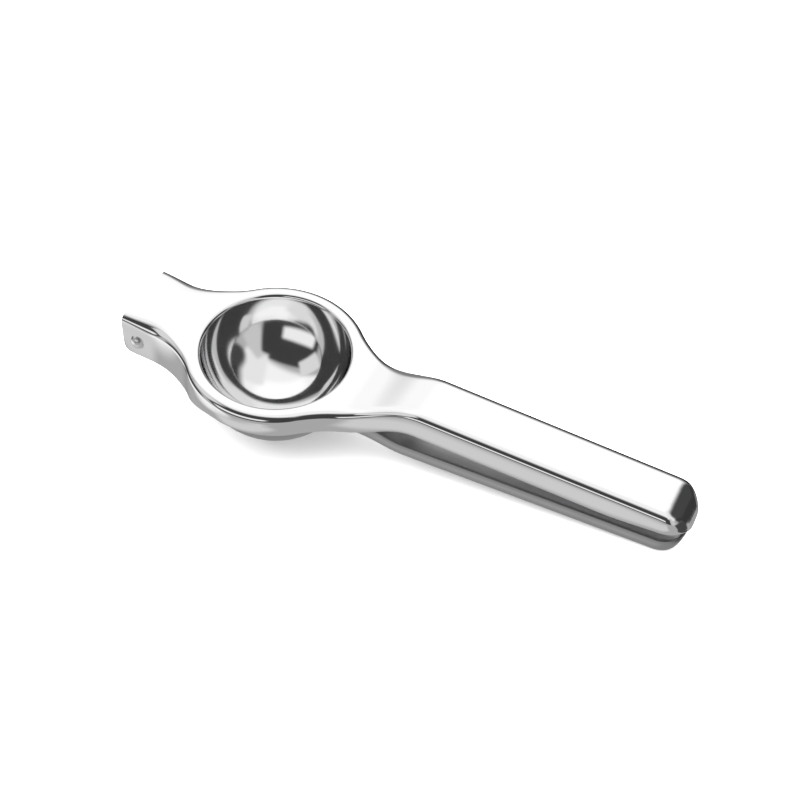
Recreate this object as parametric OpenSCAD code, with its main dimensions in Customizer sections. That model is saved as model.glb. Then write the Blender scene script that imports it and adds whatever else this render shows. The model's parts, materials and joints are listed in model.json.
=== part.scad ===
// Hand-held citrus squeezer: two channel-shaped sheet steel arms hinged at one end.
// The upper arm carries a pressed dome, the lower arm a perforated bowl that the dome presses into.
// Arm frame: X runs from the bowl axis (X = 0) to the handle tips, Z = 0 is the top face of the
// upper arm's ring. place() turns the closed squeezer until it lies on its bowl and handle tip.

/* [Length and width] */
// Bowl axis to the tip of the upper handle
handle_reach = 158.8; // [132:0.2:190]
// Length of the hinge tab beyond the ring
tab_reach = 23.8; // [22:0.2:28]
// Width of the flat face between the dome's wall and the ring's outside
ring_face = 6; // [5.6:0.1:8]
// Half width of the upper arm at the hinge
tab_half_w = 14.4; // [12:0.1:17.4]
// Half width of the upper handle where it leaves the neck
neck_half_w = 10.8; // [9:0.1:14]
// Half width of the upper handle near its tip
tip_half_w = 10.1; // [8.5:0.1:13]

/* [Sheet] */
// Sheet thickness of both arms
sheet = 1.2; // [1:0.1:1.4]
// Side clearance between the nested flanges of the two arms
side_gap = 0.4; // [0.3:0.05:0.6]
// Clearance under the face of the upper arm when the press is closed
stop_gap = 0.4; // [0.3:0.05:0.8]
// Outside radius of the bend along the edge of the upper arm
edge_r = 2.2; // [1.6:0.1:2.6]

/* [Plan] */
// Concave blend radius between hinge tab and ring, upper arm
tab_blend_r = 32; // [24:1:40]
// Concave blend radius between hinge tab and ring, lower arm
lower_tab_blend_r = 24; // [18:1:26]
// Concave blend radius between ring and handle
neck_blend_r = 52; // [44:1:60]
// Corner radius of the handle tips
tip_corner_r = 8; // [5:0.5:8.4]

/* [Side view] */
// Height of the upper handle above the ring at the end of the neck
handle_rise = 9.7; // [6:0.1:13]
// Rise of the upper handle per millimetre beyond the neck
handle_slope = 0.026; // [0:0.002:0.04]
// Flange depth around the upper ring
ring_flange = 8.6; // [7:0.1:9.4]
// Flange depth along the upper handle
handle_flange = 10; // [8:0.1:12]
// Flange depth at the upper handle tip
tip_flange = 7.4; // [6:0.1:9]
// Depth of the hinge ears of the upper arm
ear_depth = 17.8; // [16:0.1:20]
// Corner radius of the hinge ears
ear_corner_r = 3; // [2:0.5:5]
// Radius of the curl that closes the upper handle tip
tip_curl_r = 10; // [8:0.5:12]
// Underside of the lower ring below the upper ring face
lower_ring_drop = 9.4; // [8.6:0.1:11]
// Underside of the lower handle below the upper ring face, at the neck
lower_neck_drop = 16.2; // [14:0.1:18]
// Underside of the lower handle below the upper ring face, at the tip
lower_tip_drop = 7.6; // [6.6:0.1:9.6]
// Wall height of the lower handle channel
lower_wall_h = 6; // [4:0.1:7]
// Radius of the curl that closes the lower handle tip
lower_curl_r = 4.5; // [3:0.5:6]

/* [Dome and bowl] */
// Inside radius of the dome at the lip
dome_mouth_r = 27; // [22.5:0.1:32.4]
// Radius of the rolled lip around the dome
lip_r = 1.5; // [1.3:0.1:2]
// Slope of the dome wall under the lip, degrees from the axis plane
dome_rim_angle = 80; // [72:1:86]
// Clearance between the dome's wall and the bowl at the mouth
bowl_gap = 0.6; // [0.5:0.1:1]
// Depth of the bowl's sphere centre below the upper ring face
bowl_centre_drop = 4.4; // [3.5:0.1:6]

/* [Perforations] */
// Diameter of a juice hole
hole_d = 3; // [2:0.1:4]
// Pitch between rings of juice holes
hole_pitch = 6; // [5:0.1:6.4]
// Rings of juice holes around the centre hole
hole_rings = 3; // [1:1:3]

/* [Hinge] */
// Hinge axis depth below the upper ring face
hinge_drop = 10.2; // [9.8:0.1:10.8]
// Outside radius of the lower arm's knuckle around the hinge axis
knuckle_r = 6.2; // [5.4:0.1:8.4]
// Rivet shank diameter
rivet_d = 3.2; // [2.4:0.1:4]
// Rivet head diameter
rivet_head_d = 5.4; // [4.6:0.1:7]
// Rivet head height
rivet_head_h = 1.1; // [0.8:0.1:1.6]
// Outside diameter of the spacer sleeve
sleeve_d = 5.6; // [5:0.1:7]
// Radial running clearance in the hinge
hinge_fit = 0.05; // [0.02:0.01:0.1]

/* [Hidden] */
$fn = 96;
far = 100;               // reach of tools that cut clean through
side_samples = 7;        // straight facets in each swept bend of the side view
edge_steps = 3;          // steps that round the long bends
arc_lap = 0.03;          // lets arcs that would only touch cross each other

// Sizes that follow the dome, so that it always fits the bowl and the ring
ring_r = dome_mouth_r + ring_face;
bowl_in_r = dome_mouth_r + sheet + bowl_gap;
bowl_r = bowl_in_r + sheet;
hinge_reach = ring_r + tab_reach;
hinge_x = hinge_reach - knuckle_r;

// Where the side view bends, measured along X
neck_start = ring_r - 1;
neck_end = ring_r + 31;
flange_neck_start = ring_r + 3;
flange_neck_end = ring_r + 29;
tip_flange_start = handle_reach - 30.8;
lower_neck_start = ring_r - 1;
lower_neck_end = ring_r + 23;
ear_end = 1 - ring_r;
ring_flange_start = -6;
lower_ear_end = -ring_r - 3;
lower_ring_start = -14;

// Each arm is one pressed sheet. It is drawn as two sub-parts that meet at this plane, so that its
// cup and its handle channel are each a simple hollow solid.
split_x = ring_r + 9;

// The lower arm nests inside the upper arm's flange
nest = sheet + side_gap;
lower_reach = handle_reach - nest;
lower_ring_r = ring_r - nest;
ear_in = tab_half_w - sheet;
lower_tab_half_w = ear_in - side_gap;

// Dome: a spherical cup whose wall meets the lip at dome_rim_angle
dome_r = dome_mouth_r / sin(dome_rim_angle);
dome_z = dome_r * cos(dome_rim_angle) - lip_r;

// Smooth step from 0 to 1 between a and b
function ease(x, a, b) = let (t = min(1, max(0, (x - a) / (b - a)))) (1 - cos(180 * t)) / 2;
function mix(a, b, t) = a + (b - a) * t;

// Side view curves of the upper arm: face and lower edge of the flange
function face_z(x) = handle_rise * ease(x, neck_start, neck_end)
    + handle_slope * max(0, x - neck_end);
function flange_z(x) =
    x < ring_flange_start ? mix(-ear_depth, -ring_flange, ease(x, ear_end, ring_flange_start))
    : x < flange_neck_end ? mix(-ring_flange, face_z(neck_end) - handle_flange,
                                ease(x, flange_neck_start, flange_neck_end))
    : face_z(x) - mix(handle_flange, tip_flange, ease(x, tip_flange_start, handle_reach));

// Side view curves of the lower arm: underside and upper edge of the walls
function lower_handle_z(x) = -mix(lower_neck_drop, lower_tip_drop,
    max(0, x - lower_neck_end) / (lower_reach - lower_neck_end));
function under_z(x) =
    x < lower_ring_start ? mix(-hinge_drop - knuckle_r, -lower_ring_drop,
                               ease(x, lower_ear_end, lower_ring_start))
    : mix(-lower_ring_drop, lower_handle_z(x), ease(x, lower_neck_start, lower_neck_end));
function wall_z(x) = mix(-sheet - stop_gap, lower_handle_z(x) + lower_wall_h,
    ease(x, lower_neck_start, lower_neck_end));

// X stations: both ends of each straight run and side_samples facets in each bend
function run(a, b) = [for (i = [0 : side_samples]) mix(a, b, i / side_samples)];
function points(xs, dz, f) = [for (x = xs) [x, f(x) + dz]];
function turned(list) = [for (i = [len(list) - 1 : -1 : 0]) list[i]];

// Fillet in the corner between a circle of radius r about the origin and the line y = half_w
module blend(r, half_w, blend_r, inset) {
    centre_x = sqrt(pow(r + blend_r, 2) - pow(half_w + blend_r, 2));
    difference() {
        polygon([[0, 0], [centre_x, 0], [centre_x, half_w + blend_r]]);
        translate([centre_x, half_w + blend_r]) circle(blend_r + inset + arc_lap);
    }
}

// Plan outline shared by both arms, moved inwards by inset
module plan(r, tab_w, tab_r, tab_end, neck_w, neck_r, tip_w, tip_end, inset) {
    circle(r - inset);
    translate([-tab_end, inset - tab_w]) square([tab_end, 2 * (tab_w - inset)]);
    corner_x = tip_end - tip_corner_r;
    neck_x = sqrt(pow(r + neck_r, 2) - pow(neck_w + neck_r, 2));
    neck_y = neck_w - inset;
    tip_y = tip_w - inset;
    polygon([[0, neck_y], [neck_x, neck_y], [corner_x, tip_y],
             [corner_x, -tip_y], [neck_x, -neck_y], [0, -neck_y]]);
    translate([corner_x, tip_corner_r - tip_w])
        square([tip_corner_r - inset, 2 * (tip_w - tip_corner_r)]);
    for (side = [-1, 1]) {
        translate([corner_x, side * (tip_w - tip_corner_r)]) circle(tip_corner_r - inset);
        scale([1, side]) {
            blend(r, neck_w, neck_r, inset);
            mirror([1, 0]) blend(r, tab_w, tab_r, inset);
        }
    }
}

module upper_plan(inset, tab_end = hinge_reach) {
    plan(ring_r, tab_half_w, tab_blend_r, tab_end, neck_half_w, neck_blend_r,
         tip_half_w, handle_reach, inset);
}

module lower_plan(inset) {
    plan(lower_ring_r, lower_tab_half_w, lower_tab_blend_r, hinge_x + knuckle_r,
         neck_half_w - nest, neck_blend_r + nest, tip_half_w - nest, lower_reach, inset);
}

// Stands a side view outline up in the XZ plane and sweeps it across the arm
module across() {
    rotate([90, 0, 0]) linear_extrude(2 * far, center = true) children();
}

module tall() {
    translate([0, 0, -far]) linear_extrude(2 * far) children();
}

// Region of the side view under the upper arm's face, its tip curled down
module under_face(drop) {
    curl_r = tip_curl_r - drop;
    curl_x = handle_reach - tip_curl_r;
    curl_z = face_z(curl_x) - tip_curl_r;
    xs = concat([-far], run(neck_start, neck_end), [curl_x]);
    polygon(concat(points(xs, -drop, function(x) face_z(x)),
        [for (a = [75 : -15 : 0]) [curl_x + curl_r * cos(a), curl_z + curl_r * sin(a)]],
        [[curl_x + curl_r, -far], [-far, -far]]));
}

// Region of the side view above the lower edge of the upper arm's flange
module above_flange() {
    xs = concat([-hinge_reach + ear_corner_r], run(ear_end, ring_flange_start),
        run(flange_neck_start, flange_neck_end), run(tip_flange_start, handle_reach));
    polygon(concat(points(xs, 0, function(x) flange_z(x)),
        [[handle_reach, far], [-hinge_reach, far], [-hinge_reach, ear_corner_r - ear_depth]]));
    translate([ear_corner_r - hinge_reach, ear_corner_r - ear_depth]) circle(ear_corner_r);
}

// Upper channel with its long edges rounded in steps
module upper_shell() {
    difference() {
        union() {
            for (i = [0 : edge_steps]) {
                a = 90 * i / edge_steps;
                intersection() {
                    tall() upper_plan(edge_r * (1 - cos(a)));
                    across() intersection() {
                        under_face(edge_r * (1 - sin(a)));
                        above_flange();
                    }
                }
            }
        }
        intersection() {
            tall() upper_plan(sheet, tab_end = far);
            across() under_face(sheet);
        }
    }
}

// Lip flare at the mouth of the dome
module lip_cut() {
    rotate_extrude() difference() {
        translate([0, -lip_r]) square([dome_mouth_r + lip_r, lip_r + 1]);
        translate([dome_mouth_r + lip_r, -lip_r]) circle(lip_r);
    }
}

module hinge_hole(r) {
    translate([-hinge_x, 0, -hinge_drop]) rotate([90, 0, 0]) cylinder(r = r, h = 2 * far, center = true);
}

module hinge_side() {
    intersection() {
        children();
        translate([split_x - 4 * far, -far, -far]) cube([4 * far, 2 * far, 2 * far]);
    }
}

module handle_side() {
    intersection() {
        children();
        translate([split_x, -far, -far]) cube([4 * far, 2 * far, 2 * far]);
    }
}

module upper_pressing() {
    difference() {
        union() {
            upper_shell();
            intersection() {
                translate([0, 0, dome_z]) sphere(dome_r + sheet);
                translate([-far, -far, -far - sheet / 2]) cube([2 * far, 2 * far, far]);
            }
        }
        translate([0, 0, dome_z]) sphere(dome_r);
        lip_cut();
        hinge_hole(rivet_d / 2 + hinge_fit);
    }
}

module upper_press() {
    color("silver") place() hinge_side() upper_pressing();
}

module upper_handle() {
    color("silver") place() handle_side() upper_pressing();
}

// Region of the side view inside the lower arm, from its underside up to its wall edges
module lower_side(inset) {
    xs = concat([-hinge_x], run(lower_ear_end, lower_ring_start),
        run(lower_neck_start, lower_neck_end), [lower_reach - lower_curl_r]);
    curl_x = lower_reach - lower_curl_r;
    curl_r = lower_curl_r - inset;
    curl_z = under_z(curl_x) + lower_curl_r;
    polygon(concat(points(xs, inset, function(x) under_z(x)),
        [for (a = [-75 : 15 : 0]) [curl_x + curl_r * cos(a), curl_z + curl_r * sin(a)]],
        [[curl_x + curl_r, far], [-hinge_x, far]]));
    translate([-hinge_x, -hinge_drop]) circle(knuckle_r - inset);
}

module below_walls() {
    xs = concat([-far], run(lower_neck_start, lower_neck_end), [lower_reach]);
    polygon(concat(points(xs, 0, function(x) wall_z(x)), [[lower_reach, -far], [-far, -far]]));
}

module lower_shell() {
    difference() {
        intersection() {
            tall() lower_plan(0);
            across() intersection() {
                lower_side(0);
                below_walls();
            }
        }
        intersection() {
            tall() lower_plan(sheet);
            across() {
                lower_side(sheet);
                translate([sheet - hinge_x - knuckle_r, -hinge_drop]) square([knuckle_r - sheet, far]);
            }
        }
    }
}

module juice_holes() {
    for (ring = [0 : hole_rings], i = [0 : max(1, 6 * ring) - 1]) {
        rotate([0, 0, i * 60 / max(1, ring)]) translate([ring * hole_pitch, 0, -far])
            cylinder(d = hole_d, h = far - lower_ring_drop);
    }
}

module lower_pressing() {
    difference() {
        union() {
            lower_shell();
            intersection() {
                translate([0, 0, -bowl_centre_drop]) sphere(bowl_r);
                translate([-far, -far, sheet - lower_ring_drop - far]) cube([2 * far, 2 * far, far]);
            }
        }
        translate([0, 0, -bowl_centre_drop]) sphere(bowl_in_r);
        translate([0, 0, -bowl_centre_drop]) cylinder(r = bowl_in_r, h = far);
        juice_holes();
        hinge_hole(sleeve_d / 2 + hinge_fit);
    }
}

module lower_bowl() {
    color("lightgray") place() hinge_side() lower_pressing();
}

module lower_handle() {
    color("lightgray") place() handle_side() lower_pressing();
}

// Domed rivet heads are slices of a sphere that spans the head diameter
module rivet_head() {
    head_r = (pow(rivet_head_d / 2, 2) + pow(rivet_head_h, 2)) / (2 * rivet_head_h);
    intersection() {
        translate([0, 0, rivet_head_h - head_r]) sphere(head_r);
        cylinder(d = rivet_head_d + 1, h = rivet_head_h + 1);
    }
}

module at_hinge() {
    translate([-hinge_x, 0, -hinge_drop]) rotate([90, 0, 0]) children();
}

module pivot_rivet() {
    color("silver") place() at_hinge() {
        cylinder(d = rivet_d, h = 2 * tab_half_w, center = true);
        for (side = [0, 1]) mirror([0, 0, side]) translate([0, 0, tab_half_w]) rivet_head();
    }
}

module pivot_sleeve() {
    color("gainsboro") place() at_hinge() difference() {
        cylinder(d = sleeve_d, h = 2 * ear_in, center = true);
        cylinder(d = rivet_d + 2 * hinge_fit, h = 2 * ear_in + 1, center = true);
    }
}

// Resting attitude: the line that touches the bowl and the curl of the lower handle tip is level.
// The foremost point of the upper arm is on the rounded edge of its curled tip.
curl_centre_x = lower_reach - lower_curl_r;
curl_centre_z = under_z(curl_centre_x) + lower_curl_r + bowl_centre_drop;
curl_distance = norm([curl_centre_x, curl_centre_z]);
rest_tilt = atan2(curl_centre_z, curl_centre_x) + asin((bowl_r - lower_curl_r) / curl_distance);
lift = bowl_r + bowl_centre_drop * cos(rest_tilt);
back_x = (ear_corner_r - hinge_reach) * cos(rest_tilt)
    + (ear_corner_r - ear_depth) * sin(rest_tilt) - ear_corner_r;
tip_inset = edge_r * (1 - cos(60));
tip_round_r = tip_curl_r - edge_r * (1 - sin(60));
tip_edge_z = face_z(handle_reach - tip_curl_r) - tip_curl_r
    + sqrt(pow(tip_round_r, 2) - pow(tip_curl_r - tip_inset, 2));
front_x = (handle_reach - tip_inset) * cos(rest_tilt) + tip_edge_z * sin(rest_tilt);
mid_x = (back_x + front_x) / 2;

module place() {
    translate([-mid_x, 0, lift]) rotate([0, rest_tilt, 0]) children();
}

upper_press();
upper_handle();
lower_bowl();
lower_handle();
pivot_rivet();
pivot_sleeve();
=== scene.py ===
"""Looks of the hand-held citrus squeezer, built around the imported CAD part.

Both arms are pressed sheet. Each is drawn in its own arm frame, in millimetres: X runs from the bowl
axis to the handle tips and Z = 0 is the top face of the upper ring. placed() turns it into the row frame.
"""

import math

import bmesh
import bpy
from mathutils import Matrix, Vector, geometry
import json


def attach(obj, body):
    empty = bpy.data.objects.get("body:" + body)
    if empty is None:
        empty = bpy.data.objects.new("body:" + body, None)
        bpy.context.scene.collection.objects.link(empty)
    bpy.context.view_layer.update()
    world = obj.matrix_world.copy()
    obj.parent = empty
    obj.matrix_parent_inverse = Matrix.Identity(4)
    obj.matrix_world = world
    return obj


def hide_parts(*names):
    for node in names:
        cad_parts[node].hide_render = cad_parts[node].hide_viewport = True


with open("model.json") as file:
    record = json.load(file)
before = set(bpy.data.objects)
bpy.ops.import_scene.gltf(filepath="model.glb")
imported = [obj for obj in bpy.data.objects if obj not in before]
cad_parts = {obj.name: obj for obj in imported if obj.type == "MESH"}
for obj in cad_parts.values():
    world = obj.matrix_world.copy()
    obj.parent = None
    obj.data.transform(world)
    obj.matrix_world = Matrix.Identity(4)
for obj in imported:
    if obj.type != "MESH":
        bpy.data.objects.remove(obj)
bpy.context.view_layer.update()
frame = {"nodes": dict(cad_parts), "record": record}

MM = 0.001

# Plan
HANDLE_REACH = 158.8
RING_R = 33.0
TAB_REACH = 23.8
HINGE_REACH = RING_R + TAB_REACH
TAB_HALF_W = 14.4
NECK_HALF_W = 10.8
TIP_HALF_W = 10.1
TIP_CORNER_R = 8.0
TAB_BLEND_R = 32.0
LOWER_TAB_BLEND_R = 24.0
NECK_BLEND_R = 52.0

# Sheet
SHEET = 1.2
NEST = 1.6
EDGE_R = 2.2
WAIST_EDGE_R = 3.6
RING_EDGE_R = 2.7
LOWER_EDGE_R = 1.9
HANDLE_BEND_SPREAD = 1.75
RING_BEND_SPREAD = 1.15
WAIST_X = -43
WAIST_SPAN = 9
RING_BEND_SPAN = 30
RING_SPREAD_SPAN = 34
RIM_R = 0.3
RIM_SOFTNESS = RIM_R * 0.3
WALL_CROWN = 0.22
WALL_ROWS = tuple(k / 8 for k in range(1, 9))
BEND_STEPS = 10
LEAST_INNER_BEND = 0.15
LEAST_WALL_H = 0.9
BEND_PART_OF_WALL = 0.55

# Side view
HANDLE_RISE = 9.7
HANDLE_SLOPE = 0.026
CRANK_START = RING_R - 1
CRANK_END = RING_R + 31
CURL_PART = 0.985
RING_FLANGE = 8.6
HANDLE_FLANGE = 10.0
TIP_FLANGE = 7.4
EAR_DEPTH = 17.8
EAR_CORNER_R = 3.0
EAR_FADE_END = -6
NECK_RIM_START = RING_R + 3
NECK_RIM_END = RING_R + 29
TIP_FLANGE_START = HANDLE_REACH - 30.8
TIP_CURL_R = 10.0
LOWER_RING_DROP = 9.4
RING_DROP_START = -14
LOWER_NECK_DROP = 16.2
LOWER_TIP_DROP = 7.6
LOWER_WALL_H = 6.0
LOWER_CURL_R = 4.5
LOWER_WALL_TOP = -2.1
WAIST_WALL_TOP = -3.3
KNUCKLE_LEDGE = 0.6

# Dome and bowl
MOUTH_R = 27.0
LIP_R = 1.5
DOME_RIM_ANGLE = math.radians(80)
DOME_R = MOUTH_R / math.sin(DOME_RIM_ANGLE)
DOME_Z = DOME_R * math.cos(DOME_RIM_ANGLE) - LIP_R
BOWL_R = 30.0
BOWL_Z = -4.4
HOLE_R = 1.5
HOLE_PITCH = 6.0
HOLE_RINGS = 3
HOLE_CUT_Z = -30
HOLE_CUT_LENGTH = 20
CUP_ROWS = 44
LIP_ROWS = 8

# Hinge
HINGE_DROP = 10.2
KNUCKLE_R = 6.2
HINGE_X = HINGE_REACH - KNUCKLE_R
WAIST_DIP_X = 5 - HINGE_X
WAIST_RISE_X = 12 - HINGE_X
WAIST_DIP_END = 2 - RING_R
RIVET_SHANK_R = 1.6
PIN_BORE_R = 2.85
RIVET_HEAD_R = 3.0
RIVET_HEAD_H = 2.0
RIVET_EDGE_H = 0.08
RIVET_UNDERCUT = 0.02

LOWER_REACH = HANDLE_REACH - NEST
LOWER_NECK_END = RING_R + 23
TIP_CURL_X = HANDLE_REACH - TIP_CURL_R
LOWER_CURL_X = LOWER_REACH - LOWER_CURL_R
UPPER_TRIM = 0.5
LOWER_TRIM = 0.1

# Mesh
STEP = 0.9
AROUND = 160
FACE_GRID = 1.5
FACE_GRID_ROWS = 23
FACE_GRID_ROOM_SQUARED = 0.6
END_CUTS = 20
RIVET_AROUND = 48
RIVET_ROWS = 14


def mix(a, b, t):
    return a + (b - a) * t


def ease(x, a, b):
    t = min(1.0, max(0.0, (x - a) / (b - a)))
    return (1 - math.cos(math.pi * t)) / 2


def face_z(x):
    """Top of the upper arm before its tip is curled."""
    return HANDLE_RISE * ease(x, CRANK_START, CRANK_END) + HANDLE_SLOPE * max(0, x - CRANK_END)


def upper_face(x):
    """Top of the upper arm, with the tip curled down."""
    if x <= TIP_CURL_X:
        return face_z(x)
    over = min(x - TIP_CURL_X, TIP_CURL_R * CURL_PART)
    return face_z(TIP_CURL_X) - TIP_CURL_R + math.sqrt(TIP_CURL_R**2 - over**2)


def upper_rim(x):
    """Lower edge of the upper arm's flange."""
    ear_corner = EAR_CORNER_R - HINGE_REACH
    if x < ear_corner:
        over = min(EAR_CORNER_R, ear_corner - x)
        return EAR_CORNER_R - EAR_DEPTH - math.sqrt(EAR_CORNER_R**2 - over**2)
    if x < EAR_FADE_END:
        return mix(-EAR_DEPTH, -RING_FLANGE, ease(x, 1 - RING_R, EAR_FADE_END))
    if x < NECK_RIM_END:
        end = face_z(CRANK_END) - HANDLE_FLANGE
        return mix(-RING_FLANGE, end, ease(x, NECK_RIM_START, NECK_RIM_END))
    return face_z(x) - mix(HANDLE_FLANGE, TIP_FLANGE, ease(x, TIP_FLANGE_START, HANDLE_REACH))


def lower_handle_z(x):
    """Underside of the lower handle, which rises in a straight line from the neck to the tip."""
    t = max(0, x - LOWER_NECK_END) / (LOWER_REACH - LOWER_NECK_END)
    return -mix(LOWER_NECK_DROP, LOWER_TIP_DROP, t)


def under_z(x):
    """Underside of the lower arm before it is curled at the knuckle and the tip."""
    if x < RING_DROP_START:
        return mix(-HINGE_DROP - KNUCKLE_R, -LOWER_RING_DROP, ease(x, -RING_R - 3, RING_DROP_START))
    return mix(-LOWER_RING_DROP, lower_handle_z(x), ease(x, CRANK_START, LOWER_NECK_END))


def lower_face(x):
    """Underside of the lower arm, curled up round the knuckle and at the tip."""
    if x < -HINGE_X:
        over = min(-HINGE_X - x, KNUCKLE_R * CURL_PART)
        return -HINGE_DROP - math.sqrt(KNUCKLE_R**2 - over**2)
    if x > LOWER_CURL_X:
        over = min(x - LOWER_CURL_X, LOWER_CURL_R * CURL_PART)
        return under_z(LOWER_CURL_X) + LOWER_CURL_R - math.sqrt(LOWER_CURL_R**2 - over**2)
    return under_z(x)


def lower_rim(x):
    """Upper edge of the lower arm's walls. It dips at the waist, under the upper arm's wide bend."""
    if x < -HINGE_X:
        over = min(-HINGE_X - x, KNUCKLE_R)
        return -HINGE_DROP + math.sqrt(max(0.0, KNUCKLE_R**2 - over**2)) + KNUCKLE_LEDGE
    if x < WAIST_DIP_X:
        return mix(-HINGE_DROP + KNUCKLE_R + KNUCKLE_LEDGE, WAIST_WALL_TOP, ease(x, -HINGE_X, WAIST_DIP_X))
    if x < WAIST_DIP_END:
        return mix(WAIST_WALL_TOP, LOWER_WALL_TOP, ease(x, WAIST_RISE_X, WAIST_DIP_END))
    return mix(LOWER_WALL_TOP, lower_handle_z(x) + LOWER_WALL_H, ease(x, CRANK_START, LOWER_NECK_END))


def arm_to_row():
    """Arm frame to row frame.

    The tilt lays the arms on the bowl and on the curl of the lower tip. The record's hinge gives the shift.
    """
    rise = under_z(LOWER_CURL_X) + LOWER_CURL_R - BOWL_Z
    tilt = math.atan2(rise, LOWER_CURL_X)
    tilt += math.asin((BOWL_R - LOWER_CURL_R) / math.hypot(rise, LOWER_CURL_X))
    turn = Matrix.Rotation(tilt, 4, "Y")
    pin = Vector(frame["record"]["behaviour"]["joints"][0]["pos_m"])
    return Matrix.Translation(pin - turn @ Vector((-HINGE_X, 0, -HINGE_DROP)) * MM) @ turn


PLACE = arm_to_row()


def placed(x, y, z):
    return PLACE @ (Vector((x, y, z)) * MM)


def arc(cx, cy, r, a, b):
    """Points on a circle from angle a to angle b, about STEP apart."""
    n = max(4, int(abs(b - a) * r / STEP))
    angles = [mix(a, b, i / n) for i in range(n + 1)]
    return [(cx + r * math.cos(t), cy + r * math.sin(t)) for t in angles]


def line(a, b, step=STEP):
    n = max(1, int(math.dist(a, b) / step))
    return [(mix(a[0], b[0], i / n), mix(a[1], b[1], i / n)) for i in range(n + 1)]


def outline(ring_r, tab_w, tab_r, tab_end, neck_w, neck_r, tip_w, tip_end):
    """Plan outline from the near corner of the hinge end, round the tip, to the far corner."""
    tab_x = -math.sqrt((ring_r + tab_r) ** 2 - (tab_w + tab_r) ** 2)
    neck_x = math.sqrt((ring_r + neck_r) ** 2 - (neck_w + neck_r) ** 2)
    tab_angle = math.atan2(tab_w + tab_r, tab_x)
    neck_angle = math.atan2(neck_w + neck_r, neck_x)
    corner_x = tip_end - TIP_CORNER_R
    half = line((-tab_end, tab_w), (-tab_end + 4, tab_w), 0.3)
    half += line((-tab_end + 4, tab_w), (tab_x, tab_w))[1:]
    half += arc(tab_x, tab_w + tab_r, tab_r, -math.pi / 2, tab_angle - math.pi)[1:]
    half += arc(0, 0, ring_r, tab_angle, neck_angle)[1:]
    half += arc(neck_x, neck_w + neck_r, neck_r, neck_angle - math.pi, -math.pi / 2)[1:]
    half += line((neck_x, neck_w), (corner_x, tip_w))[1:]
    half += arc(corner_x, tip_w - TIP_CORNER_R, TIP_CORNER_R, math.pi / 2, 0)[1:]
    half += line((tip_end, tip_w - TIP_CORNER_R), (tip_end, 0), 0.5)[1:]
    near = [(x, -y) for x, y in half]
    far = [(x, y) for x, y in reversed(half[:-1])]
    return near + far


def inward(points):
    """Unit normals that point into the outline."""
    out = []
    for i in range(len(points)):
        a = points[max(0, i - 1)]
        b = points[min(len(points) - 1, i + 1)]
        dx, dy = b[0] - a[0], b[1] - a[1]
        size = math.hypot(dx, dy)
        out.append((-dy / size, dx / size))
    return out


def crown(t):
    """How far a pressed wall bows outwards, t of the way from its bend to its rim."""
    return WALL_CROWN * 4 * t * (1 - t)


def section(bend, across, wall, sign):
    """Rows across the sheet as (inset, height from the face towards the rim): outer face to inner face.

    The bend is a quarter of an ellipse, bend high and across wide.
    """
    rows = []
    for k in range(BEND_STEPS + 1):
        a = math.pi / 2 * (1 - k / BEND_STEPS)
        rows.append((across * (1 - math.cos(a)), bend * (1 - math.sin(a))))
    inner = max(LEAST_INNER_BEND, bend - SHEET)
    inner_across = max(LEAST_INNER_BEND, across - SHEET)
    rows += [(-crown(t), mix(bend, wall - RIM_R, t)) for t in WALL_ROWS]
    rows += [(RIM_SOFTNESS, wall - RIM_SOFTNESS), (RIM_R, wall)]
    rows += [(SHEET - RIM_R, wall), (SHEET - RIM_SOFTNESS, wall - RIM_SOFTNESS)]
    rows += [(SHEET - crown(t), mix(bend, wall - RIM_R, t)) for t in reversed(WALL_ROWS)]
    for k in range(BEND_STEPS + 1):
        a = math.pi / 2 * k / BEND_STEPS
        rows.append((SHEET + inner_across * (1 - math.cos(a)), SHEET + inner * (1 - math.sin(a))))
    return [(inset, sign * height) for inset, height in rows]


def inside(poly, x, y):
    hit = False
    for i in range(len(poly)):
        (ax, ay), (bx, by) = poly[i - 1], poly[i]
        if (ay > y) != (by > y) and x < (bx - ax) * (y - ay) / (by - ay) + ax:
            hit = not hit
    return hit


def fill_face(bm, loop, ring, face, layer):
    """Triangles between the outline loop and the ring of the dome or bowl, on the curved face."""
    verts = loop + ring
    pts = [Vector((v.co.x, v.co.y)) for v in verts]
    n = len(loop)
    edges = [(i, (i + 1) % n) for i in range(n)]
    edges += [(n + i, n + (i + 1) % len(ring)) for i in range(len(ring))]
    outer = [(p.x, p.y) for p in pts[:n]]
    hole = [(p.x, p.y) for p in pts[n:]]
    low_x = min(x for x, _ in outer)
    high_x = max(x for x, _ in outer)
    extra = []
    for i in range(int((high_x - low_x) / FACE_GRID)):
        for j in range(-FACE_GRID_ROWS, FACE_GRID_ROWS + 1):
            x, y = low_x + (i + 0.5) * FACE_GRID, j * FACE_GRID
            room_squared = min((x - q[0]) ** 2 + (y - q[1]) ** 2 for q in outer + hole)
            if room_squared <= FACE_GRID_ROOM_SQUARED:
                continue
            if inside(outer, x, y) and not inside(hole, x, y):
                extra.append(Vector((x, y)))
    coords, _, tris, origins, _, _ = geometry.delaunay_2d_cdt(pts + extra, edges, [], 0, 1e-5)
    made = {}
    for i, source in enumerate(origins):
        if source and source[0] < len(verts):
            made[i] = verts[source[0]]
        else:
            made[i] = bm.verts.new((coords[i].x, coords[i].y, face(coords[i].x) + layer))
    for tri in tris:
        cx = sum(coords[k].x for k in tri) / 3
        cy = sum(coords[k].y for k in tri) / 3
        corners = [made[k] for k in tri]
        if inside(outer, cx, cy) and not inside(hole, cx, cy) and len(set(corners)) == 3:
            bm.faces.new(corners)


def on_circle(r, i, z):
    """Point i of AROUND on a circle about the bowl axis."""
    a = 2 * math.pi * i / AROUND
    return (r * math.cos(a), r * math.sin(a), z)


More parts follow.
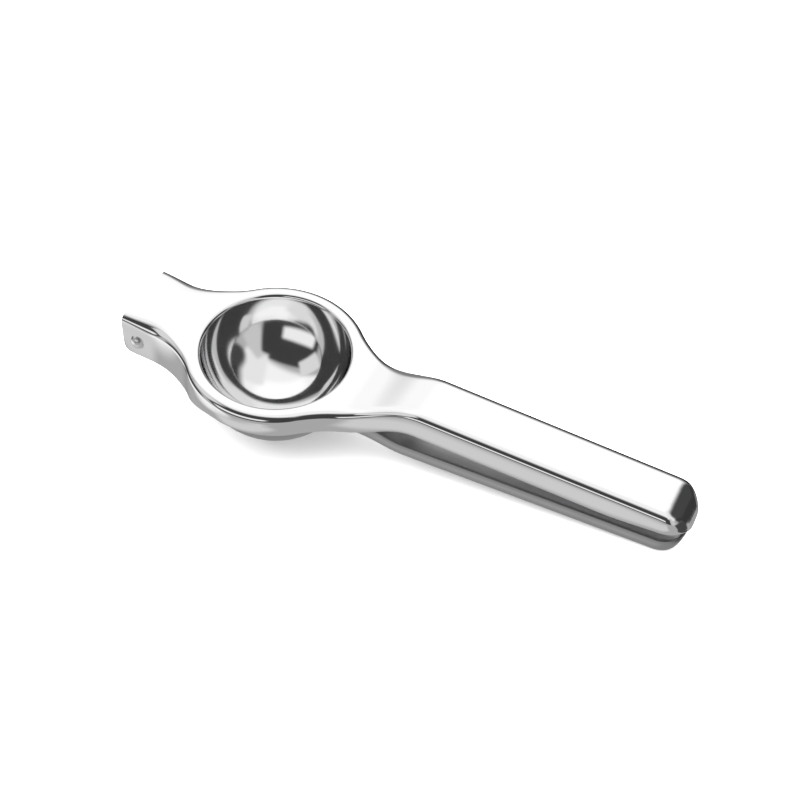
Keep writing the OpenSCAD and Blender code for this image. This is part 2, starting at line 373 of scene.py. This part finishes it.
def to_piece(name, bm):
    """Turns a mesh drawn in the arm frame into an object in the row frame."""
    for v in bm.verts:
        v.co = placed(*v.co)
    mesh = bpy.data.meshes.new(name)
    bm.to_mesh(mesh)
    bm.free()
    piece = bpy.data.objects.new(name, mesh)
    bpy.context.collection.objects.link(piece)
    return piece


def add_cup(bm, ring, rows, pole_z):
    """Rows of revolution from a ring of vertices to a pole."""
    last = ring
    for row in rows:
        new = [bm.verts.new(point) for point in row]
        for i in range(AROUND):
            j = (i + 1) % AROUND
            bm.faces.new((last[i], last[j], new[j], new[i]))
        last = new
    pole = bm.verts.new((0, 0, pole_z))
    for i in range(AROUND):
        bm.faces.new((last[i], last[(i + 1) % AROUND], pole))


def channel(name, points, face, rim, sign, bend_at, spread_at, cups):
    """One pressed sheet: a face, a rounded bend, a wall with a soft rim, and a cup in the face.

    The wall runs down from the face where sign is -1, and up where it is 1.
    """
    bm = bmesh.new()
    normals = inward(points)
    strips = []
    for (x, y), (nx, ny) in zip(points, normals):
        height = max(LEAST_WALL_H, abs(rim(x) - face(x)))
        bend = min(bend_at(x), BEND_PART_OF_WALL * height)
        strip = []
        for inset, drop in section(bend, bend * spread_at(x), height, sign):
            px = x + nx * inset
            py = y + ny * inset
            strip.append(bm.verts.new((px, py, face(px) + drop)))
        strips.append(strip)
    for a, b in zip(strips, strips[1:]):
        for k in range(len(a) - 1):
            bm.faces.new((a[k], a[k + 1], b[k + 1], b[k]))
    # the hinge end is cut square: close it between the outer and the inner side
    rows = len(strips[0])
    for strip in (strips[0], strips[-1]):
        for k in range(rows // 2 - 1):
            bm.faces.new((strip[k], strip[k + 1], strip[rows - 2 - k], strip[rows - 1 - k]))
    end_cuts = []
    for row in (0, rows - 1):
        a, b = strips[-1][row], strips[0][row]
        between = [bm.verts.new(a.co.lerp(b.co, k / END_CUTS)) for k in range(1, END_CUTS)]
        end_cuts.append([a] + between + [b])
    for k in range(END_CUTS):
        outer, inner = end_cuts
        bm.faces.new((outer[k], outer[k + 1], inner[k + 1], inner[k]))
    for row, layer, cut, (cup, pole_z) in zip((0, rows - 1), (0, sign * SHEET), end_cuts, cups):
        ring = [bm.verts.new(point) for point in cup[0]]
        loop = [strip[row] for strip in strips] + cut[1:-1]
        fill_face(bm, loop, ring, face, layer)
        add_cup(bm, ring, cup[1:], pole_z)
    bmesh.ops.recalc_face_normals(bm, faces=bm.faces)
    for f in bm.faces:
        f.smooth = True
    return to_piece(name, bm)


def dome_cups():
    """Rows and pole of the dome's cup side and of its pressing side. The first row lies in the face."""
    sides = []
    for offset, lip in ((0, LIP_R), (SHEET, LIP_R - SHEET)):
        flare = MOUTH_R + LIP_R
        radius = DOME_R + offset
        profile = [(flare, -offset)]
        for k in range(1, LIP_ROWS + 1):
            a = math.pi / 2 * k / LIP_ROWS
            profile.append((flare - lip * math.sin(a), -LIP_R + lip * math.cos(a)))
        for k in range(1, CUP_ROWS):
            a = mix(DOME_RIM_ANGLE, 0, k / CUP_ROWS)
            profile.append((radius * math.sin(a), DOME_Z - radius * math.cos(a)))
        rows = [[on_circle(r, i, z) for i in range(AROUND)] for r, z in profile]
        sides.append((rows, DOME_Z - DOME_R - offset))
    return sides


def bowl_meets_face(radius, layer, i):
    """Point i of the line in which a sphere about the bowl's centre meets the lower arm's face."""
    toward_x = math.cos(2 * math.pi * i / AROUND)
    r = radius
    for _ in range(30):
        z = lower_face(r * toward_x) + layer
        r = math.sqrt(radius**2 - (z - BOWL_Z) ** 2)
    return on_circle(r, i, lower_face(r * toward_x) + layer)


def bowl_cups():
    """Rows and pole of the bowl's outside and of its inside. The first row lies in the face."""
    sides = []
    for radius, layer in ((BOWL_R, 0), (BOWL_R - SHEET, SHEET)):
        rows = [[bowl_meets_face(radius, layer, i) for i in range(AROUND)]]
        starts = [math.atan2(math.hypot(x, y), BOWL_Z - z) for x, y, z in rows[0]]
        for k in range(1, CUP_ROWS):
            row = []
            for i, start in enumerate(starts):
                polar = start * (1 - k / CUP_ROWS)
                row.append(on_circle(radius * math.sin(polar), i, BOWL_Z - radius * math.cos(polar)))
            rows.append(row)
        sides.append((rows, BOWL_Z - radius))
    return sides


def upper_bend(x):
    """The bend is wider at the waist between hinge tab and ring, and a little wider round the ring."""
    waist = math.exp(-(((x - WAIST_X) / WAIST_SPAN) ** 2))
    ring = math.exp(-((x / RING_BEND_SPAN) ** 4))
    return max(mix(EDGE_R, WAIST_EDGE_R, waist), mix(EDGE_R, RING_EDGE_R, ring))


def upper_spread(x):
    """The bend runs further across the face on the handle and the hinge tab than round the ring."""
    return mix(HANDLE_BEND_SPREAD, RING_BEND_SPREAD, math.exp(-((x / RING_SPREAD_SPAN) ** 4)))


def even_normals(piece):
    mod = piece.modifiers.new("even_normals", "WEIGHTED_NORMAL")
    mod.mode = "FACE_AREA"
    mod.keep_sharp = True
    mod.weight = 60


def sharpen(piece, degrees):
    piece.data.set_sharp_from_angle(angle=math.radians(degrees))


upper_points = outline(
    RING_R, TAB_HALF_W, TAB_BLEND_R, HINGE_REACH,
    NECK_HALF_W, NECK_BLEND_R, TIP_HALF_W, HANDLE_REACH - UPPER_TRIM,
)
upper = channel(
    "upper_arm_sheet", upper_points, upper_face, upper_rim, -1,
    bend_at=upper_bend, spread_at=upper_spread, cups=dome_cups(),
)

lower_points = outline(
    RING_R - NEST, TAB_HALF_W - NEST, LOWER_TAB_BLEND_R, HINGE_REACH - LOWER_TRIM,
    NECK_HALF_W - NEST, NECK_BLEND_R + NEST, TIP_HALF_W - NEST, LOWER_REACH - LOWER_TRIM,
)
lower = channel(
    "lower_arm_sheet", lower_points, lower_face, lower_rim, 1,
    bend_at=lambda x: LOWER_EDGE_R, spread_at=lambda x: 1, cups=bowl_cups(),
)


def lower_cuts():
    """Cylinders that pierce the lower arm: one per juice hole, and one across for the pin."""
    bm = bmesh.new()
    for ring in range(HOLE_RINGS + 1):
        count = max(1, 6 * ring)
        for i in range(count):
            a = 2 * math.pi * i / count
            made = bmesh.ops.create_cone(
                bm, cap_ends=True, segments=28, radius1=HOLE_R, radius2=HOLE_R, depth=HOLE_CUT_LENGTH
            )
            shift = Vector((ring * HOLE_PITCH * math.cos(a), ring * HOLE_PITCH * math.sin(a), HOLE_CUT_Z))
            bmesh.ops.translate(bm, verts=made["verts"], vec=shift)
    made = bmesh.ops.create_cone(
        bm, cap_ends=True, segments=48, radius1=PIN_BORE_R, radius2=PIN_BORE_R, depth=2 * TAB_HALF_W
    )
    bmesh.ops.rotate(bm, verts=made["verts"], cent=(0, 0, 0), matrix=Matrix.Rotation(math.pi / 2, 3, "X"))
    bmesh.ops.translate(bm, verts=made["verts"], vec=(-HINGE_X, 0, -HINGE_DROP))
    return to_piece("lower_cuts", bm)


def punch(piece, tool):
    """Cuts the tool out of the piece for good, so that the tool needn't stay in the scene."""
    mod = piece.modifiers.new("punch", "BOOLEAN")
    mod.object = tool
    mod.solver = "EXACT"
    graph = bpy.context.evaluated_depsgraph_get()
    cut = bpy.data.meshes.new_from_object(piece.evaluated_get(graph))
    piece.modifiers.clear()
    piece.data = cut
    bpy.data.objects.remove(tool)


punch(lower, lower_cuts())
for arm in (upper, lower):
    sharpen(arm, degrees=38)
    even_normals(arm)


def rivet():
    """Rivet across the ears, with a soft-edged domed head on each side."""
    bm = bmesh.new()
    cap_r = (RIVET_HEAD_R**2 + RIVET_HEAD_H**2) / (2 * RIVET_HEAD_H)
    spread = math.asin(RIVET_HEAD_R / cap_r)
    profile = []
    for k in range(RIVET_ROWS):
        a = spread * k / RIVET_ROWS
        profile.append((cap_r * math.sin(a), RIVET_HEAD_H - cap_r * (1 - math.cos(a))))
    profile += [(RIVET_HEAD_R, RIVET_EDGE_H), (RIVET_HEAD_R, 0.0)]
    profile += [(RIVET_SHANK_R, -RIVET_UNDERCUT), (RIVET_SHANK_R, -TAB_HALF_W)]
    for side in (-1, 1):
        rows = []
        for r, out in profile[1:]:
            ring = []
            for i in range(RIVET_AROUND):
                a = 2 * math.pi * i / RIVET_AROUND
                p = (r * math.cos(a) - HINGE_X, side * (TAB_HALF_W + out), r * math.sin(a) - HINGE_DROP)
                ring.append(bm.verts.new(p))
            rows.append(ring)
        tip = bm.verts.new((-HINGE_X, side * (TAB_HALF_W + profile[0][1]), -HINGE_DROP))
        for i in range(RIVET_AROUND):
            bm.faces.new((tip, rows[0][i], rows[0][(i + 1) % RIVET_AROUND]))
        for a, b in zip(rows, rows[1:]):
            for i in range(RIVET_AROUND):
                j = (i + 1) % RIVET_AROUND
                bm.faces.new((a[i], a[j], b[j], b[i]))
    bmesh.ops.remove_doubles(bm, verts=bm.verts, dist=1e-4)
    bmesh.ops.recalc_face_normals(bm, faces=bm.faces)
    for f in bm.faces:
        f.smooth = True
    piece = to_piece("rivet_formed", bm)
    sharpen(piece, degrees=50)
    return piece


formed_rivet = rivet()


def steel(name, color, roughness, spread, wave, grain=0.0):
    """Stainless steel: uneven polish, faint waves from pressing, fine marks, and grain along the arm.

    spread is how much rougher the dullest spots are. wave and grain are strengths of bump.
    """
    mat = bpy.data.materials.new(name)
    mat.use_nodes = True
    nodes, links = mat.node_tree.nodes, mat.node_tree.links
    shader = nodes["Principled BSDF"]
    shader.inputs["Metallic"].default_value = 1.0
    shader.inputs["Base Color"].default_value = (*color, 1)
    coords = nodes.new("ShaderNodeTexCoord")

    def noise(scale, detail, stretch=(1, 1, 1)):
        mapping = nodes.new("ShaderNodeMapping")
        mapping.inputs["Scale"].default_value = stretch
        links.new(coords.outputs["Object"], mapping.inputs["Vector"])
        tex = nodes.new("ShaderNodeTexNoise")
        tex.inputs["Scale"].default_value = scale
        tex.inputs["Detail"].default_value = detail
        links.new(mapping.outputs["Vector"], tex.inputs["Vector"])
        return tex.outputs["Fac"]

    smear = nodes.new("ShaderNodeMapRange")
    smear.inputs["From Min"].default_value = 0.3
    smear.inputs["From Max"].default_value = 0.7
    smear.inputs["To Min"].default_value = roughness
    smear.inputs["To Max"].default_value = roughness + spread
    links.new(noise(scale=90, detail=5), smear.inputs["Value"])
    links.new(smear.outputs["Result"], shader.inputs["Roughness"])

    waves = nodes.new("ShaderNodeBump")
    waves.inputs["Strength"].default_value = wave
    waves.inputs["Distance"].default_value = 0.0004
    links.new(noise(scale=38, detail=1), waves.inputs["Height"])
    marks = nodes.new("ShaderNodeBump")
    marks.inputs["Strength"].default_value = 0.04 + grain
    marks.inputs["Distance"].default_value = 0.00004
    links.new(noise(scale=900, detail=3, stretch=(0.06, 1, 1)), marks.inputs["Height"])
    links.new(waves.outputs["Normal"], marks.inputs["Normal"])
    links.new(marks.outputs["Normal"], shader.inputs["Normal"])
    return mat


polished = steel("polished_steel", (0.90, 0.90, 0.905), roughness=0.055, spread=0.05, wave=0.22)
satin = steel("satin_steel", (0.50, 0.50, 0.51), roughness=0.27, spread=0.10, wave=0.05, grain=0.35)
rivet_steel = steel("rivet_steel", (0.96, 0.96, 0.96), roughness=0.30, spread=0.06, wave=0.04)
turned_steel = steel("sleeve_steel", (0.60, 0.60, 0.61), roughness=0.32, spread=0.08, wave=0.02, grain=0.2)

for piece, body, nodes, slot, mat in (
    (upper, "upper", ("upper_press", "upper_handle"), "polished_steel", polished),
    (lower, "lower", ("lower_bowl", "lower_handle"), "satin_steel", satin),
    (formed_rivet, "upper", ("pivot_rivet",), "rivet_steel", rivet_steel),
):
    piece.data.materials.clear()
    piece.data.materials.append(mat)
    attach(piece, body)
    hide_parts(*nodes)

sleeve = frame["nodes"]["pivot_sleeve"]
sleeve.data.materials.clear()
sleeve.data.materials.append(turned_steel)


# Floor: a sheet of paper, so wide that its edge lies near the horizon in low views. The steel mirrors the
# studio's own lower half and not the paper, as in a cut-out picture
FLOOR_SIZE = 60
PAPER_GREY = 0.6
PAPER_GLOW = 0.42

bpy.ops.mesh.primitive_plane_add(size=FLOOR_SIZE, location=(0, 0, 0))
floor = bpy.context.object
floor.name = "floor"
floor.visible_glossy = False
paper = bpy.data.materials.new("paper")
paper.use_nodes = True
paper_shader = paper.node_tree.nodes["Principled BSDF"]
paper_shader.inputs["Base Color"].default_value = (PAPER_GREY, PAPER_GREY, PAPER_GREY, 1)
paper_shader.inputs["Roughness"].default_value = 0.9
paper_shader.inputs["Emission Color"].default_value = (1, 1, 1, 1)
paper_shader.inputs["Emission Strength"].default_value = PAPER_GLOW
floor.data.materials.append(paper)

# Studio: the room's brightness below and above the horizon, and soft bright and dark panels round the
# squeezer. Azimuth 0 is the near side, and 90 is beyond the handle tips. A panel is (azimuth, elevation,
# half width, half height, softness, brightness), the first five in degrees. Later ones cover earlier ones.
LOWER_ROOM = 0.42
UPPER_ROOM = 0.46
HORIZON_SOFTNESS = 0.12
PANELS = (
    (178, 62, 60, 34, 12, 0.98),
    (-152, 50, 30, 24, 14, 1.12),
    (115, 46, 26, 20, 10, 0.86),
    (-134, 32, 20, 14, 8, 1.06),
    (72, 26, 15, 24, 9, 0.60),
    (-165, -14, 50, 34, 30, 0.22),
    (180, -6, 24, 17, 12, 0.04),
    (8, 34, 46, 33, 8, 0.05),
    (4, 66, 30, 10, 7, 0.05),
    (-60, 50, 12, 15, 6, 0.74),
    (-6, 29, 26, 10, 8, 0.92),
    (-86, -4, 32, 28, 9, 0.05),
    (130, 6, 27, 24, 14, 0.04),
    (92, -22, 20, 26, 8, 0.06),
    (-60, -20, 26, 16, 10, 0.98),
    (-22, -47, 24, 11, 12, 0.66),
)


def direction(azimuth, elevation):
    """Unit vector of the row frame from the squeezer towards the given angles, in degrees."""
    a, e = math.radians(azimuth), math.radians(elevation)
    return Vector((math.sin(a) * math.cos(e), -math.cos(a) * math.cos(e), math.sin(e)))


def studio():
    """Paints the panels on the world by direction, so that they lie infinitely far away."""
    world = bpy.data.worlds.new("studio")
    bpy.context.scene.world = world
    world.use_nodes = True
    nodes, links = world.node_tree.nodes, world.node_tree.links
    coords = nodes.new("ShaderNodeTexCoord")

    def along(axis):
        dot = nodes.new("ShaderNodeVectorMath")
        dot.operation = "DOT_PRODUCT"
        dot.inputs[1].default_value = axis
        links.new(coords.outputs["Generated"], dot.inputs[0])
        return dot.outputs["Value"]

    def calc(operation, a, b=None):
        node = nodes.new("ShaderNodeMath")
        node.operation = operation
        links.new(a, node.inputs[0])
        if b is not None:
            links.new(b, node.inputs[1])
        return node.outputs["Value"]

    def ramp(value, low, high, to_low, to_high):
        node = nodes.new("ShaderNodeMapRange")
        node.interpolation_type = "SMOOTHSTEP"
        node.inputs["From Min"].default_value = low
        node.inputs["From Max"].default_value = high
        node.inputs["To Min"].default_value = to_low
        node.inputs["To Max"].default_value = to_high
        links.new(value, node.inputs["Value"])
        return node.outputs["Result"]

    def within(side, ahead, half, soft):
        """1 inside a panel and 0 outside it, along one of its sides."""
        slope = calc("ABSOLUTE", calc("DIVIDE", side, ahead))
        low = math.tan(math.radians(half - soft / 2))
        high = math.tan(math.radians(half + soft / 2))
        return ramp(slope, low, high, 1, 0)

    shade = ramp(along((0, 0, 1)), -HORIZON_SOFTNESS, HORIZON_SOFTNESS, LOWER_ROOM, UPPER_ROOM)
    for azimuth, elevation, half_w, half_h, soft, level in PANELS:
        axis = direction(azimuth, elevation)
        side = direction(azimuth + 90, 0)
        ahead = along(axis)
        across = within(along(side), ahead, half_w, soft)
        upright = within(along(axis.cross(side)), ahead, half_h, soft)
        cover = calc("MULTIPLY", calc("MULTIPLY", across, upright), ramp(ahead, 0.0, 0.1, 0, 1))
        mixer = nodes.new("ShaderNodeMix")
        mixer.data_type = "FLOAT"
        links.new(cover, mixer.inputs["Factor"])
        links.new(shade, mixer.inputs["A"])
        mixer.inputs["B"].default_value = level
        shade = mixer.outputs["Result"]
    links.new(shade, nodes["Background"].inputs["Color"])


studio()


def softbox(name, azimuth, elevation, distance, width, height, power):
    """Soft light on the paper. It faces the squeezer and isn't mirrored in it."""
    data = bpy.data.lights.new(name, "AREA")
    data.shape = "RECTANGLE"
    data.size, data.size_y = width, height
    data.energy = power
    light = bpy.data.objects.new(name, data)
    bpy.context.collection.objects.link(light)
    back = direction(azimuth, elevation)
    light.location = back * distance
    light.rotation_mode = "QUATERNION"
    light.rotation_quaternion = (-back).to_track_quat("-Z", "Y")
    light.visible_glossy = False


softbox("overhead_soft", azimuth=180, elevation=84, distance=2.2, width=4.2, height=4.2, power=420)


CARD_SOLID = 0.22
CARD_CLEAR = 0.5


def flag(name, centre, towards, size, shade):
    """A grey card with a soft round edge, near the squeezer. Only the steel sees it."""
    bpy.ops.mesh.primitive_plane_add(size=size, location=centre)
    card = bpy.context.object
    card.name = name
    card.rotation_mode = "QUATERNION"
    card.rotation_quaternion = (Vector(towards) - Vector(centre)).to_track_quat("Z", "Y")
    card.visible_camera = False
    card.visible_diffuse = False
    card.visible_shadow = False
    mat = bpy.data.materials.new(name)
    mat.use_nodes = True
    nodes, links = mat.node_tree.nodes, mat.node_tree.links
    nodes.clear()
    coords = nodes.new("ShaderNodeTexCoord")
    away = nodes.new("ShaderNodeVectorMath")
    away.operation = "LENGTH"
    links.new(coords.outputs["Object"], away.inputs[0])
    fade = nodes.new("ShaderNodeMapRange")
    fade.interpolation_type = "SMOOTHSTEP"
    fade.inputs["From Min"].default_value = size * CARD_SOLID
    fade.inputs["From Max"].default_value = size * CARD_CLEAR
    links.new(away.outputs["Value"], fade.inputs["Value"])
    clear = nodes.new("ShaderNodeBsdfTransparent")
    grey = nodes.new("ShaderNodeEmission")
    grey.inputs["Color"].default_value = (shade, shade, shade, 1)
    blend = nodes.new("ShaderNodeMixShader")
    links.new(fade.outputs["Result"], blend.inputs["Fac"])
    links.new(grey.outputs["Emission"], blend.inputs[1])
    links.new(clear.outputs["BSDF"], blend.inputs[2])
    out = nodes.new("ShaderNodeOutputMaterial")
    links.new(blend.outputs["Shader"], out.inputs["Surface"])
    card.data.materials.append(mat)


# A card beyond the tip, low enough that the cup hardly sees it
FLAG_REACH = 0.22
tip_spot = placed(HANDLE_REACH, 0, upper_face(HANDLE_REACH - 4))
flag("tip_flag", tip_spot + direction(135, 30) * FLAG_REACH, tip_spot, size=0.26, shade=0.06)

# Camera, with angles and distances in the arm frame
CAM_AZIMUTH = math.radians(23.81)
CAM_ELEVATION = math.radians(49.64)
CAM_ROLL = math.radians(-4.75)
CAM_DISTANCE = 500.0
CAM_SHIFT_RIGHT = -44.49
CAM_SHIFT_DOWN = -18.10
CAM_LENS = 62.73


def camera():
    """The photograph's camera, set up in the arm frame. It is rolled and looks past the bowl axis."""
    a, e = CAM_AZIMUTH, CAM_ELEVATION
    forward = Vector((-math.sin(a) * math.cos(e), math.cos(a) * math.cos(e), -math.sin(e)))
    level = Vector((math.cos(a), math.sin(a), 0))
    down = forward.cross(level)
    right = level * math.cos(CAM_ROLL) + down * math.sin(CAM_ROLL)
    low = down * math.cos(CAM_ROLL) - level * math.sin(CAM_ROLL)
    spot = -(right * CAM_SHIFT_RIGHT + low * CAM_SHIFT_DOWN + forward * CAM_DISTANCE)
    data = bpy.data.cameras.new("camera")
    data.sensor_width = 36
    data.lens = CAM_LENS
    data.clip_start = 0.02
    cam = bpy.data.objects.new("camera", data)
    bpy.context.collection.objects.link(cam)
    axes = Matrix((right, -low, -forward)).transposed().to_4x4()
    cam.matrix_world = PLACE @ Matrix.Translation(spot * MM) @ axes
    bpy.context.scene.camera = cam


camera()
bpy.context.scene.view_settings.view_transform = "Standard"
